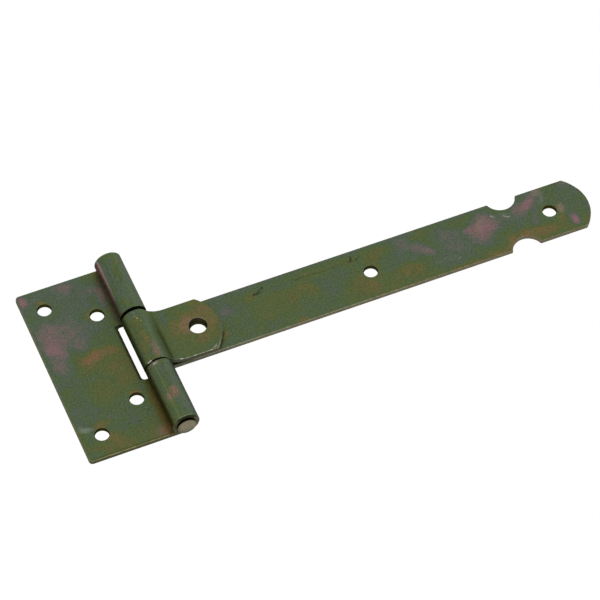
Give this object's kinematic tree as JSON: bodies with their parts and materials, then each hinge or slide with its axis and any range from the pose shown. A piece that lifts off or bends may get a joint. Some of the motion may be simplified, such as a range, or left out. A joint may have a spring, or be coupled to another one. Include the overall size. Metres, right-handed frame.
{
  "type": "tee hinge",
  "caption": "Light zinc-plated steel tee hinge: a short cross leaf and a long strap with a folded-back tab, rolled round one peened pin, for hanging a gate or shed door.",
  "frame": {"origin": "on the mounting plane, straight under the pin axis, at the middle of the cross leaf's height", "axes": "+X from the pin towards the strap's tip, +Y along the pin, +Z away from the mounting surface, towards the knuckles"},
  "size_m": [0.2344, 0.0876, 0.0112],
  "materials": {
    "leaf_zinc": "satin zinc plate with an olive and mauve iridescent passivation",
    "strap_zinc": "satin zinc plate with an olive and mauve iridescent passivation",
    "pin_steel": "peened zinc-plated steel, pale straw tint"
  },
  "bodies": {
    "leaf_body": {"leaf": "leaf_zinc", "pin": "pin_steel"},
    "strap_body": {"strap": "strap_zinc"}
  },
  "joints": [
    {"name": "swing", "type": "hinge", "parent": "leaf_body", "child": "strap_body", "pos_m": [0, 0, 0.0052], "axis": [0, -1, 0], "range_deg": [-107, 186]}
  ]
}
